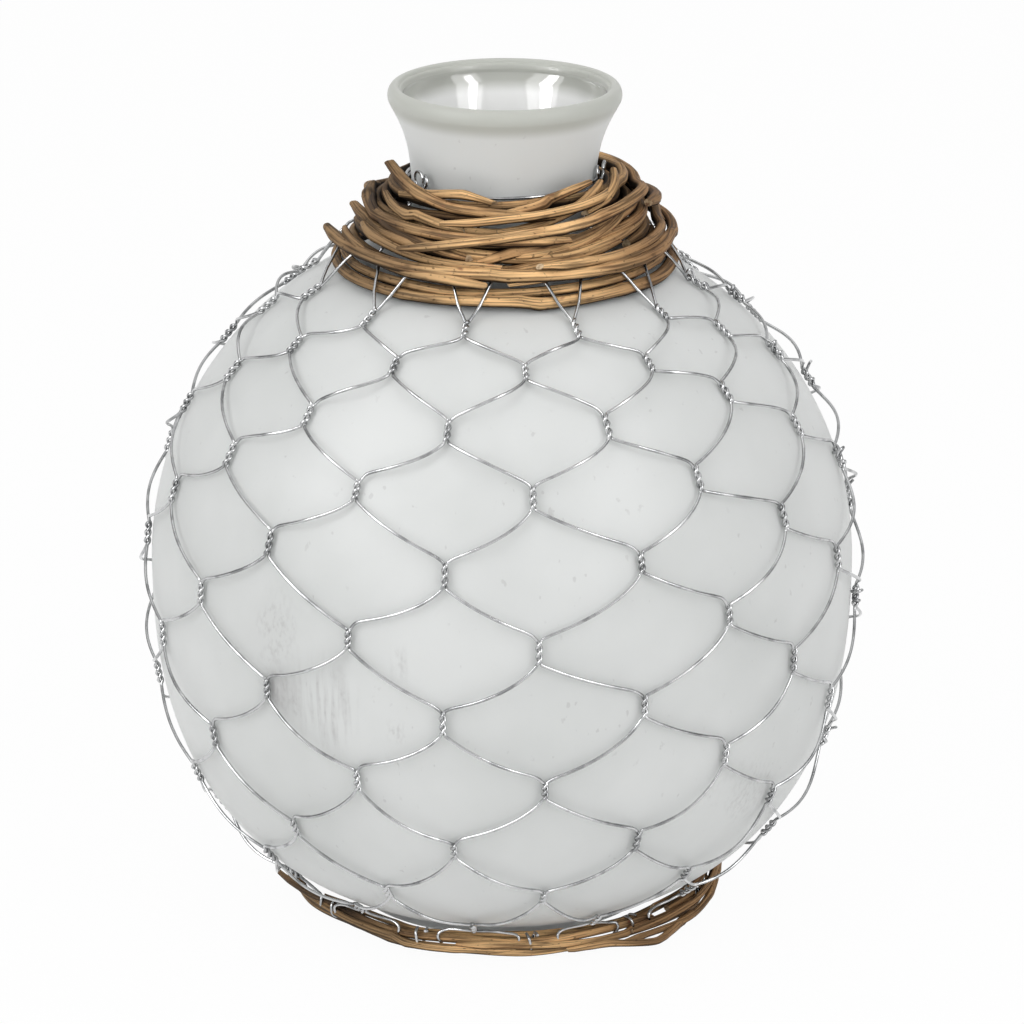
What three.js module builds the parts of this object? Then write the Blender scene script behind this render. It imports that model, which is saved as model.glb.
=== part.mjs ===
// Frosted glass ball vase with hexagonal wire netting, a wound willow collar and a willow foot ring.
// Millimetres, +Z up. The middle of the foot is the origin and the photographed side faces -Y.
import * as THREE from "three";

// Glass: the ball is two half curves that meet at the belly, 2 being the exponent of a plain ellipse
const BODY_RADIUS = 100;
const BODY_DEPTH = 103.2;
const BODY_RISE = 97.1;
const LOWER_FULLNESS = 2.45;
const UPPER_FULLNESS = 2;
const FOOT_RADIUS = 42;
const HEEL_FLARE = 4;
const HEEL_HEIGHT = 3.9;
const PUNT_RADIUS = 32;
const PUNT_DEPTH = 2.5;
const BASE_THICKNESS = 7;
const WALL = 4;
const SHOULDER_RADIUS = 50;
const NECK_RADIUS = 25.8;
const NECK_RISE = 14;
const FLARE_HEIGHT = 23.6;
const LIP_RADIUS = 32.7;
const LIP_THICKNESS = 4.2;
const LIP_DEPTH = 5.8;
const GLASS_FACETS = 32;

// Netting: twelve gaps round the ball, each joint a half turn of two wires
const WIRE = 0.9;
const CLEARANCE = 0.3;
const NET_COLUMNS = 12;
const NET_ROWS = 11;
const NET_TURN = 20.5;
const NET_FRONT_STRETCH = 1.9;
const NET_GATHER = 1.15;
const NET_SLIP = 3.5;
const NET_SIDE_LIFT = 4;
const NET_TILT = 1.7;
const TWIST_LENGTH = 7;
const NET_BOW = 1.4;
const NET_TOP_GAP = 3.5;

// Collar: willow rods laid one after another on a cone from the shoulder to the neck
const COLLAR_FOOT_RADIUS = 46;
const COLLAR_TOP_DROP = 1.2;
const COLLAR_SEAT = 0.6;
const COLLAR_NECK_GAP = 0.8;
const COLLAR_LANES = 7;
const HOOK_LANE = 1.7;
const ROD = 3.35;
const STATION = 12;
const ROD_STIFFNESS = 0.004;
const END_REACH = 24;
const NECK_WIRE_TURNS = 2;
const NECK_WIRE_PITCH = 1.5;

// Foot ring: willow rods two high, held up by the tie wires that pass under them
const RING_SLACK = 5.6;
const RING_ROD = 2.4;

const RADIANS = Math.PI / 180;

// A point from its azimuth in degrees (0 in front, growing to the right), radius and height
function place(azimuth, radius, height) {
  const angle = azimuth * RADIANS;
  return new THREE.Vector3(radius * Math.sin(angle), -radius * Math.cos(angle), height);
}

// A path that keeps to its points, one ring of a sweep at each
class PointPath extends THREE.Curve {
  constructor(points) {
    super();
    this.points = points;
  }

  getPoint(t) {
    const along = t * (this.points.length - 1);
    const index = Math.min(Math.floor(along), this.points.length - 2);
    return this.points[index].clone().lerp(this.points[index + 1], along - index);
  }

  getPointAt(u) {
    return this.getPoint(u);
  }

  getTangentAt(u) {
    return this.getTangent(u);
  }
}

// A round bar of the given diameter along the points
function bar(points, diameter, sides) {
  const section = new THREE.Shape();
  for (let side = 0; side < sides; side += 1) {
    const angle = (side / sides) * 2 * Math.PI;
    const corner = new THREE.Vector2(Math.cos(angle), Math.sin(angle)).multiplyScalar(diameter / 2);
    if (side === 0) section.moveTo(corner.x, corner.y);
    else section.lineTo(corner.x, corner.y);
  }
  const path = new PointPath(points);
  return new THREE.ExtrudeGeometry(section, { steps: points.length - 1, extrudePath: path });
}

const part = new THREE.Group();
part.name = "frosted_glass_vase";

const looks = {
  glass: new THREE.MeshStandardMaterial({ color: 0xd3d6d4, roughness: 0.7 }),
  wire: new THREE.MeshStandardMaterial({ color: 0x9a9ea2, metalness: 1, roughness: 0.35 }),
  willow: new THREE.MeshStandardMaterial({ color: 0x8a5d38, roughness: 0.7 }),
};

function add(name, geometry, look) {
  const mesh = new THREE.Mesh(geometry, looks[look]);
  mesh.name = name;
  part.add(mesh);
}

// Glass outline from the heel to the widest part of the lip, as radius and height
const heelRadius = FOOT_RADIUS + HEEL_FLARE;
const heelShare = (heelRadius / BODY_RADIUS) ** LOWER_FULLNESS;
const bellyHeight = HEEL_HEIGHT + BODY_DEPTH * (1 - heelShare) ** (1 / LOWER_FULLNESS);
const waistHeight = bellyHeight + BODY_RISE + NECK_RISE;
const lipHeight = waistHeight + FLARE_HEIGHT;

// Height of the half curve above or below the belly at a radius
function curveHeight(radius, depth, fullness) {
  return depth * (1 - (radius / BODY_RADIUS) ** fullness) ** (1 / fullness);
}

// Points of a half curve, evenly turned from one radius to the other through the belly side
function halfCurve(fromRadius, toRadius, depth, fullness, sign, count) {
  const points = [];
  const from = Math.asin(fromRadius / BODY_RADIUS);
  const to = Math.asin(toRadius / BODY_RADIUS);
  for (let step = 0; step <= count; step += 1) {
    const radius = BODY_RADIUS * Math.sin(from + ((to - from) * step) / count);
    points.push(new THREE.Vector2(radius, bellyHeight + sign * curveHeight(radius, depth, fullness)));
  }
  return points;
}

const lowerCurve = halfCurve(heelRadius, BODY_RADIUS, BODY_DEPTH, LOWER_FULLNESS, -1, 9);
const upperCurve = halfCurve(BODY_RADIUS, SHOULDER_RADIUS, BODY_RISE, UPPER_FULLNESS, 1, 7).slice(1);
const shoulderTop = upperCurve[upperCurve.length - 1];
const shoulderStep = SHOULDER_RADIUS - NECK_RADIUS;
const shoulder = new THREE.CubicBezierCurve(
  shoulderTop,
  new THREE.Vector2(SHOULDER_RADIUS - 0.3 * shoulderStep, shoulderTop.y + 0.3 * NECK_RISE),
  new THREE.Vector2(NECK_RADIUS, shoulderTop.y + 0.2 * (waistHeight - shoulderTop.y)),
  new THREE.Vector2(NECK_RADIUS, waistHeight),
).getPoints(5).slice(1);
const flare = new THREE.CubicBezierCurve(
  new THREE.Vector2(NECK_RADIUS, waistHeight),
  new THREE.Vector2(NECK_RADIUS + 0.1 * (LIP_RADIUS - NECK_RADIUS), waistHeight + 0.42 * FLARE_HEIGHT),
  new THREE.Vector2(NECK_RADIUS + 0.38 * (LIP_RADIUS - NECK_RADIUS), waistHeight + 0.62 * FLARE_HEIGHT),
  new THREE.Vector2(LIP_RADIUS, lipHeight),
).getPoints(4).slice(1);
const outline = [...lowerCurve, ...upperCurve, ...shoulder, ...flare];

// The inside follows the outline one wall thickness in, down to the floor of the vase
const inside = outline.slice(1, -1).map((point, index) => {
  const along = outline[index + 2].clone().sub(outline[index]).normalize();
  return new THREE.Vector2(point.x - WALL * along.y, point.y + WALL * along.x);
}).filter((point) => point.y > BASE_THICKNESS + 1 && point.y < lipHeight - LIP_DEPTH / 2);
const lip = [];
for (let turn = 20; turn <= 180; turn += 40) {
  const angle = turn * RADIANS;
  const radius = LIP_RADIUS - (LIP_THICKNESS / 2) * (1 - Math.cos(angle));
  lip.push(new THREE.Vector2(radius, lipHeight + (LIP_DEPTH / 2) * Math.sin(angle)));
}
const glassProfile = [
  new THREE.Vector2(0, PUNT_DEPTH),
  new THREE.Vector2(PUNT_RADIUS - 2 * PUNT_DEPTH, PUNT_DEPTH),
  new THREE.Vector2(PUNT_RADIUS, 0),
  new THREE.Vector2(FOOT_RADIUS, 0),
  new THREE.Vector2(heelRadius - 0.3 * HEEL_FLARE, 0.35 * HEEL_HEIGHT),
  ...outline,
  ...lip,
  ...inside.reverse(),
  new THREE.Vector2(heelRadius, BASE_THICKNESS),
  new THREE.Vector2(0, BASE_THICKNESS),
];
add("glass_vase", new THREE.LatheGeometry(glassProfile, GLASS_FACETS).rotateX(Math.PI / 2), "glass");

// Radius of the glass outside at a height
function glassRadius(height) {
  const above = outline.findIndex((point) => point.y >= height);
  const upper = outline[Math.max(above, 1)];
  const lower = outline[Math.max(above, 1) - 1];
  return lower.x + ((upper.x - lower.x) * (height - lower.y)) / (upper.y - lower.y);
}

// Foot ring levels: tie wires pass under the lower rods
const ringPitch = RING_ROD + CLEARANCE;
const ringFloor = WIRE + 2 * CLEARANCE;
const ringTop = ringFloor + ringPitch + RING_ROD;
const ringRadius = glassRadius(ringTop) + RING_ROD / 2 + RING_SLACK;

// Foot rods as azimuth, steps outward in rod widths, and level
const FOOT_RODS = [
  [
    [-88, 0.3, 0], [-68, -0.2, 0], [-48, -0.4, 0], [-26, 0.6, 0], [-8, 0.1, 0],
    [8, 0.6, 0], [30, 0, 0], [52, 0.3, 0], [76, 0.2, 0], [98, 0.4, 0],
  ],
  [
    [-82, 2.2, 1], [-66, 0.8, 1], [-50, -0.1, 1], [-26, 0.5, 1],
    [-8, 0, 1], [8, 0.5, 1], [28, 0, 1], [46, 0.2, 1],
  ],
  [
    [104, 0.4, 0], [130, -0.2, 0], [155, 0.5, 0], [185, -0.2, 0],
    [210, 0.5, 0], [240, -0.1, 0], [266, 0.4, 0],
  ],
  [[17, 1.3, 0], [27, 2.2, 0], [38, 3.8, 0], [45, 2.8, 0], [52, 1.8, 0], [60, 1.25, 0]],
  [
    [52, 0.3, 1], [76, 0.25, 1], [105, 0.45, 1], [130, -0.1, 1],
    [158, 0.4, 1], [195, -0.1, 1], [235, 0.3, 1],
  ],
  [[73, 1.45, 1], [95, 1.6, 1], [120, 1.4, 1], [150, 1.5, 1], [175, 1.4, 1], [202, 2, 1]],
  [
    [-62, -0.6, 1], [-50, -1.15, 1], [-26, -0.65, 1], [-8, -1.15, 1], [8, -0.65, 1],
    [28, -1.15, 1], [42, -1, 1], [68, -0.9, 1], [84, -1, 1], [100, -0.8, 1],
  ],
];
const footRods = FOOT_RODS.map((rod) => new THREE.CatmullRomCurve3(rod.map(([azimuth, out, level]) => {
  const height = ringFloor + RING_ROD / 2 + level * ringPitch;
  return place(azimuth, ringRadius + out * ringPitch, height);
})));
footRods.forEach((curve, index) => {
  const steps = 2 * (FOOT_RODS[index].length - 1);
  add(`foot_rod_${index + 1}`, bar(curve.getPoints(steps), RING_ROD, 5), "willow");
});

// Radii of the rods that make the ring at an azimuth, leaving out the ends that stand away from it
function ringRadii(azimuth) {
  const radii = [];
  footRods.forEach((curve) => curve.getPoints(90).forEach((point) => {
    const apart = Math.atan2(point.x, -point.y) / RADIANS - azimuth;
    const radius = Math.hypot(point.x, point.y);
    if (Math.abs(((apart + 540) % 360) - 180) < 4 && radius < ringRadius + ringPitch) radii.push(radius);
  }));
  return radii;
}

// Tie wires: an open loop round the rods of the ring, its ends crossing on top
const TIE_AZIMUTHS = [-52, -22, 8, 38, 68, 248];
TIE_AZIMUTHS.forEach((azimuth, index) => {
  const around = RING_ROD / 2 + 1.5 * CLEARANCE + WIRE / 2;
  const tied = ringRadii(azimuth);
  const inner = Math.min(...tied) - around;
  const outer = Math.max(...tied) + around;
  const low = ringFloor + RING_ROD / 2 - around;
  const high = ringTop - RING_ROD / 2 + around;
  const points = [];
  for (let step = 0; step <= 12; step += 1) {
    const turn = (95 - (step / 12) * 370) * RADIANS;
    const across = Math.sign(Math.cos(turn)) * Math.abs(Math.cos(turn)) ** 0.5;
    const up = Math.sign(Math.sin(turn)) * Math.abs(Math.sin(turn)) ** 0.5;
    const radius = (inner + outer + across * (outer - inner)) / 2;
    points.push(place(azimuth + (step / 12 - 0.5) * 3.2, radius, (low + high + up * (high - low)) / 2));
  }
  add(`foot_tie_${index + 1}`, bar(points, WIRE, 3), "wire");
});

// Collar cone: its inner face runs from a seat on the shoulder to the wire round the neck
const seatIndex = outline.findIndex((point) => point.y > bellyHeight && point.x < COLLAR_FOOT_RADIUS);
const seatAbove = outline[seatIndex];
const seatBelow = outline[seatIndex - 1];
const seatShare = (seatBelow.x - COLLAR_FOOT_RADIUS) / (seatBelow.x - seatAbove.x);
const coneFoot = seatBelow.clone().lerp(seatAbove, seatShare);
const seatSlope = seatAbove.clone().sub(seatBelow).normalize();
coneFoot.add(new THREE.Vector2(seatSlope.y, -seatSlope.x).multiplyScalar(COLLAR_SEAT));
const coneTop = new THREE.Vector2(
  NECK_RADIUS + WIRE + 2 * CLEARANCE + COLLAR_NECK_GAP,
  waistHeight - COLLAR_TOP_DROP,
);
const coneAlong = coneTop.clone().sub(coneFoot).normalize();
const coneOut = new THREE.Vector2(coneAlong.y, -coneAlong.x);
const lanePitch = coneTop.distanceTo(coneFoot) / COLLAR_LANES;

// A point on the collar from its azimuth, the way up the cone and the height off the cone's inner face
function onCone(azimuth, up, off) {
  const spot = coneFoot.clone().addScaledVector(coneAlong, up).addScaledVector(coneOut, off);
  return place(azimuth, spot.x, spot.y);
}

// Where the netting's hooked ends pass over the two lowest rods, as a height off the cone
const hookOff = ROD + 1.3 * CLEARANCE + WIRE / 2;

// Collar rods in the order they are laid: first station, stations covered, lane at the start,
// middle and end, thickness as a share of the common rod, and how far each end springs outward.
// One rod lies over the netting's hooks.
const COLLAR_RODS = [
  { first: -14, count: 29, lanes: [0, 0.05, 0], thick: 1, spring: [0, 0] },
  { first: -9, count: 27, lanes: [0.95, 1, 0.95], thick: 0.95, spring: [0, 0] },
  { first: 11, count: 28, lanes: [2.2, 2.25, 2.2], thick: 1, spring: [0.3, 0.3] },
  { first: 5, count: 27, lanes: [3.1, 3.2, 3.1], thick: 1, spring: [0.3, 0.3] },
  { first: 14, count: 28, lanes: [4.05, 4.1, 4], thick: 0.95, spring: [0.3, 0.3] },
  { first: 4, count: 28, lanes: [5, 4.95, 4.9], thick: 1, spring: [0.3, 0.3] },
  { first: 4, count: 27, lanes: [5.9, 5.85, 5.8], thick: 0.95, spring: [0.3, 0.3] },
  { first: -10, count: 27, lanes: [6.75, 6.75, 6.8], thick: 0.95, spring: [0.3, 0.3] },
  { first: -7, count: 24, lanes: [1.6, 1.4, 1.7], thick: 1, spring: [3, 0.5], overHooks: true },
  { first: -7, count: 18, lanes: [3.9, 3, 4.9], thick: 1, spring: [2.5, 0.4] },
  { first: 6, count: 16, lanes: [4.3, 3, 4.4], thick: 1, spring: [0.8, 0.5] },
  { first: -8, count: 11, lanes: [5.4, 4.3, 3.3], thick: 1.05, spring: [0.6, 0.3] },
  { first: -6, count: 9, lanes: [7.6, 6.1, 5.3], thick: 1, spring: [4, 0.3] },
  { first: -3, count: 18, lanes: [2.7, 5.2, 5.4], thick: 1, spring: [0.5, 0] },
  { first: -2, count: 17, lanes: [4.9, 6.7, 6.3], thick: 0.9, spring: [0.3, 0] },
  { first: 1, count: 12, lanes: [2, 2.3, 3.4], thick: 0.95, spring: [0.3, 0.3] },
];
const stationsRound = 360 / STATION;

// Each rod rests on the cone and on the rods laid before it, and bends only as its stiffness allows
const collarRods = [];
COLLAR_RODS.forEach((rod) => {
  const thickness = rod.thick * ROD;
  const spots = [];
  for (let step = 0; step < rod.count; step += 1) {
    const halves = (2 * step) / (rod.count - 1);
    const [start, middle, end] = rod.lanes;
    const lane = halves < 1 ? start + (middle - start) * halves : middle + (end - middle) * (halves - 1);
    const bed = rod.overHooks ? hookOff + WIRE / 2 + CLEARANCE : 0;
    spots.push({ station: rod.first + step, up: lane * lanePitch, off: bed + thickness / 2 });
  }
  spots.forEach((spot) => {
    collarRods.forEach((laid) => {
      const reach = (thickness + laid.thickness) / 2 + CLEARANCE;
      laid.spots.forEach((below, index) => {
        const turns = (spot.station - below.station) % stationsRound;
        const past = index === 0 ? -1 : index === laid.spots.length - 1 ? 1 : 0;
        const beyond = past !== 0 && Math.abs(turns - past) % stationsRound === 0;
        const beside = Math.abs(spot.up - below.up);
        if ((turns === 0 || beyond) && beside < reach) {
          spot.off = Math.max(spot.off, below.off + Math.sqrt(reach ** 2 - beside ** 2));
        }
      });
    });
  });
  const needs = spots.map((spot) => spot.off);
  spots.forEach((spot, step) => {
    needs.forEach((need, other) => {
      spot.off = Math.max(spot.off, need - ROD_STIFFNESS * ((step - other) * STATION) ** 2);
    });
  });
  spots.forEach((spot, step) => {
    const fromFirst = Math.max(0, 1 - (step * STATION) / END_REACH);
    const fromLast = Math.max(0, 1 - ((rod.count - 1 - step) * STATION) / END_REACH);
    spot.off += rod.spring[0] * fromFirst ** 2 + rod.spring[1] * fromLast ** 2;
  });
  collarRods.push({ thickness, spots });
});
collarRods.forEach((rod, index) => {
  const points = rod.spots.map((spot) => onCone(spot.station * STATION, spot.up, spot.off));
  add(`collar_rod_${String(index + 1).padStart(2, "0")}`, bar(points, rod.thickness, 5), "willow");
});

// Stake wires stand behind the rods, on the inner face of the cone
const STAKE_STATIONS = [-5, -3, -1, 2, 4];
STAKE_STATIONS.forEach((station, index) => {
  const points = [HOOK_LANE + 0.5, (HOOK_LANE + COLLAR_LANES) / 2, COLLAR_LANES - 0.3].map((lane) => {
    return onCone(station * STATION, lane * lanePitch, -CLEARANCE - WIRE / 2);
  });
  add(`collar_stake_wire_${index + 1}`, bar(points, WIRE, 3), "wire");
});

// Binding wire: two turns round the neck above the willow
const neckWire = [];
const neckTurnSteps = 24;
const neckSteps = neckTurnSteps * NECK_WIRE_TURNS;
for (let step = 0; step <= neckSteps; step += 1) {
  const height = coneTop.y + 0.8 * ROD - (1 - step / neckSteps) * NECK_WIRE_TURNS * NECK_WIRE_PITCH;
  const radius = glassRadius(height) + 2 * CLEARANCE + WIRE / 2;
  neckWire.push(place(200 + (360 * NECK_WIRE_TURNS * step) / neckSteps, radius, height));
}
let neckWireApart = Infinity;
neckWire.forEach((point, index) => {
  neckWire.slice(index + neckTurnSteps / 2).forEach((other) => {
    neckWireApart = Math.min(neckWireApart, point.distanceTo(other));
  });
});
console.log(`neck_binding_wire: least gap to itself ${(neckWireApart - WIRE).toFixed(2)} mm`);
add("neck_binding_wire", bar(neckWire, WIRE, 6), "wire");

// Guide of the net: from the top of the foot ring straight to the glass, then up the glass to the collar
const twistRadius = (WIRE + CLEARANCE) / Math.SQRT2;
const standOff = twistRadius + WIRE / 2 + CLEARANCE;
const netFoot = new THREE.Vector2(
  ringRadius + RING_ROD / 2,
  ringTop + CLEARANCE + WIRE / 2 + standOff + twistRadius,
);
const body = outline.slice(0, seatIndex).concat(seatBelow.clone().lerp(seatAbove, seatShare));
const lean = (point) => Math.atan2(point.x - netFoot.x, point.y - netFoot.y);
const leaves = body.reduce((best, point, index) => {
  return point.y > netFoot.y && lean(point) > lean(body[best]) ? index : best;
}, body.findIndex((point) => point.y > netFoot.y));
const guide = [netFoot, ...body.slice(leaves)];
const guideLength = [0];
for (let index = 1; index < guide.length; index += 1) {
  guideLength.push(guideLength[index - 1] + guide[index].distanceTo(guide[index - 1]));
}

// A point on the net from its azimuth, the way up the guide and the height off it
function onNet(azimuth, up, off) {
  let above = guideLength.findIndex((length) => length >= up);
  if (above < 1) above = up <= 0 ? 1 : guide.length - 1;
  const share = (up - guideLength[above - 1]) / (guideLength[above] - guideLength[above - 1]);
  const spot = guide[above - 1].clone().lerp(guide[above], share);
  const before = guide[Math.max(above - 2, 0)];
  const after = guide[Math.min(above + 1, guide.length - 1)];
  const slope = after.clone().sub(before).normalize();
  return place(azimuth, spot.x + off * slope.y, spot.y - off * slope.x);
}

// Azimuth of a joint: columns are a little wider apart in front than behind and slip round with height
function jointAzimuth(column, row) {
  const even = (column * 360) / NET_COLUMNS + NET_TURN;
  const slip = NET_SLIP * (0.74 - row / (NET_ROWS - 1));
  return even + NET_FRONT_STRETCH * Math.sin(even * RADIANS) + slip;
}

// Height of a joint: rows draw together towards the collar, and those between ride up at the sides
const netLow = TWIST_LENGTH / 2 + WIRE;
const lowRodReach = coneFoot.clone().addScaledVector(coneOut, ROD).x - COLLAR_FOOT_RADIUS;
const netHigh = guideLength[guideLength.length - 1] - lowRodReach - NET_TOP_GAP - TWIST_LENGTH / 2;
function jointHeight(azimuth, row) {
  const share = row / (NET_ROWS - 1);
  const side = Math.sin(azimuth * RADIANS);
  const lift = (NET_TILT * side + NET_SIDE_LIFT * (side ** 2 - 0.5)) * 4 * share * (1 - share);
  return netLow + (netHigh - netLow) * (1 - (1 - share) ** NET_GATHER) + lift;
}

// Each wire climbs half a column per row, passing from one side of its partner to the other at every joint
for (let wire = 0; wire < 2 * NET_COLUMNS; wire += 1) {
  const way = wire < NET_COLUMNS ? 1 : -1;
  const points = [];
  const first = jointAzimuth(wire % NET_COLUMNS, 0);
  points.push(place(first - 6 * way, ringRadius, ringTop + CLEARANCE + WIRE / 2));
  points.push(onNet(first - 3.5 * way, 0, standOff));
  for (let row = 0; row < NET_ROWS; row += 1) {
    const azimuth = jointAzimuth((wire % NET_COLUMNS) + (way * row) / 2, row);
    const up = jointHeight(azimuth, row);
    const radius = Math.hypot(...onNet(0, up, standOff).toArray().slice(0, 2));
    const side = twistRadius / radius / RADIANS;
    points.push(onNet(azimuth - side * way, up - TWIST_LENGTH / 2, standOff));
    points.push(onNet(azimuth, up, standOff + twistRadius * way));
    points.push(onNet(azimuth + side * way, up + TWIST_LENGTH / 2, standOff));
    if (row < NET_ROWS - 1) {
      const next = jointAzimuth((wire % NET_COLUMNS) + (way * (row + 1)) / 2, row + 1);
      const from = up + TWIST_LENGTH / 2;
      const to = jointHeight(next, row + 1) - TWIST_LENGTH / 2;
      const [round, climb] = way > 0 ? [0.68, 0.42] : [0.32, 0.58];
      const bend = azimuth + (next - azimuth) * round;
      points.push(onNet(bend, from + (to - from) * climb, standOff + NET_BOW));
    } else {
      points.push(onCone(azimuth + 3.5 * way, -0.3 * lanePitch, hookOff));
      points.push(onCone(azimuth + 6 * way, lanePitch, hookOff));
      points.push(onCone(azimuth + 8 * way, (HOOK_LANE - 0.05) * lanePitch, hookOff - WIRE / 2));
      points.push(onCone(azimuth + 9 * way, HOOK_LANE * lanePitch, ROD / 4));
    }
  }
  add(`net_wire_${String(wire + 1).padStart(2, "0")}`, bar(points, WIRE, 3), "wire");
}

export default part;
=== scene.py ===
"""Looks of a frosted glass vase in wire netting, with a willow collar and a willow foot ring."""

import bpy
import numpy as np
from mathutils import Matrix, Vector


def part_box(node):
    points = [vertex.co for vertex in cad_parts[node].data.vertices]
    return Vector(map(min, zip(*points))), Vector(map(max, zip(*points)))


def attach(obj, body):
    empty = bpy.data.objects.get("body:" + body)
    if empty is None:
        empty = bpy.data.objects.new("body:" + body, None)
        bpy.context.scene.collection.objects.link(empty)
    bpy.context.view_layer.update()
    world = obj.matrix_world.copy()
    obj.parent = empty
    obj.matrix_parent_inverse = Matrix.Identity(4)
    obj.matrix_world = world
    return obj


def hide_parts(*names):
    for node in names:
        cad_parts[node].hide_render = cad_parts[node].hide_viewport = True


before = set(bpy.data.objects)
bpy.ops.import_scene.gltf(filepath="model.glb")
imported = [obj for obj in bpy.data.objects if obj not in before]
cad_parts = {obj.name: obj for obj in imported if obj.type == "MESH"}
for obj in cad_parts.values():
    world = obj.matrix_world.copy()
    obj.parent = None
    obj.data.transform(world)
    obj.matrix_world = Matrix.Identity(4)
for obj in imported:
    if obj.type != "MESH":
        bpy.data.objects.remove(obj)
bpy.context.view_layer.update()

# Glass vase: one blown piece with a ball body, a short flared neck and a rounded lip. The outside is
# etched to a white frost and the inside is left bright. It stands on a flat ring round a hollow base.
BALL = 0.1
BALL_DEPTH = 0.1032
BALL_RISE = 0.0971
LOWER_FULLNESS = 2.45
UPPER_FULLNESS = 2.0
FOOT = 0.042
HEEL = 0.046
HEEL_HEIGHT = 0.0039
PUNT = 0.032
PUNT_DEPTH = 0.0025
BASE = 0.007
WALL = 0.004
SHOULDER = 0.05
NECK = 0.0258
NECK_RISE = 0.014
FLARE = 0.0236
LIP = 0.0327
LIP_BEAD = (0.0021, 0.0029)
NECK_LEAN = 0.0008
GLASS_COLUMNS = 180
FROST = (0.715, 0.728, 0.72, 1)
FROST_THIN = (0.64, 0.655, 0.645, 1)
NECK_TINT = (0.73, 0.745, 0.735, 1)
INSIDE_TINT = (0.9, 0.905, 0.895, 1)
LIP_TINT = (0.49, 0.5, 0.46, 1)
SMUDGE = (0.36, 0.35, 0.35, 1)
FADE_ROWS = 6
# Dirt on the glass: the middle of each patch and how far it reaches, first across and then up.
RUBBED = (-0.0605, 0.008, 0.0872, 0.01)
WIPED = (-0.0475, 0.011, 0.0865, 0.0185)
SPATTERED = (-0.0635, 0.0105, 0.105, 0.017)
SPLASHED = (0.0655, 0.015, 0.052, 0.016)
HIGH_MARK = (-0.0275, 0.0034, 0.1015, 0.007)
LOW_MARK = (-0.0285, 0.0035, 0.0815, 0.005)


def place(azimuth, radius, height):
    """Points from azimuth in degrees (0 in front, growing to the right), radius and height."""
    turn = np.radians(azimuth)
    across, away, up = np.broadcast_arrays(radius * np.sin(turn), -radius * np.cos(turn), height)
    return np.stack([across, away, up], axis=-1)


def half_curve(start, end, depth, fullness, count):
    """Half of the ball's outline: the radius runs as a sine from start to end, and the height off
    the belly is depth times (1 - (radius / ball) ^ fullness) ^ (1 / fullness)."""
    radius = BALL * np.sin(np.linspace(np.arcsin(start / BALL), np.arcsin(end / BALL), count))
    height = depth * (1 - (radius / BALL) ** fullness) ** (1 / fullness)
    return radius, height


def bend(points, count):
    """Cubic curve on four points, each weighed by its share: (1-t)^3, 3t(1-t)^2, 3t^2(1-t), t^3."""
    t = np.linspace(0, 1, count)[:, None]
    first, second, third, fourth = np.array(points, float)
    return (1 - t) ** 3 * first + 3 * t * (1 - t) ** 2 * second + 3 * t**2 * (1 - t) * third + t**3 * fourth


def skin(name, rings, lengths=None):
    """Closed mesh over rows of points: each row joins the next and closes on itself, and a face fills
    the first row and the last. With lengths, a UV map runs round each row and along the rows."""
    rows, columns = rings.shape[:2]
    corner = np.arange((rows - 1) * columns).reshape(rows - 1, columns)
    beside = np.roll(corner, -1, axis=1)
    sides = np.stack([corner, beside, beside + columns, corner + columns], axis=-1).reshape(-1, 4)
    caps = [np.arange(columns)[::-1].tolist(), (np.arange(columns) + (rows - 1) * columns).tolist()]
    mesh = bpy.data.meshes.new(name)
    mesh.from_pydata(rings.reshape(-1, 3).tolist(), [], sides.tolist() + caps)
    mesh.shade_smooth()
    mesh.set_sharp_from_angle(angle=np.radians(50))
    if lengths is not None:
        around = np.arange(columns)[None, :, None] / columns + np.array([0, 1, 1, 0]) / columns
        along = np.stack([lengths[:-1], lengths[:-1], lengths[1:], lengths[1:]], axis=-1)[:, None, :]
        wrap = np.stack(np.broadcast_arrays(around, along), axis=-1).reshape(-1, 2)
        ends = np.repeat([[0.5, lengths[0]], [0.5, lengths[-1]]], columns, axis=0)
        layer = mesh.uv_layers.new(name="run")
        layer.data.foreach_set("uv", np.concatenate([wrap, ends]).astype(np.float32).ravel())
    return mesh


def add(name, mesh, materials, nodes=()):
    """Adds a finished mesh to the object: it rides on the part and stands for the CAD nodes named."""
    made = bpy.data.objects.new(name, mesh)
    bpy.context.scene.collection.objects.link(made)
    for material in materials:
        mesh.materials.append(material)
    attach(made, "root")
    if nodes:
        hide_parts(*nodes)


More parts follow.
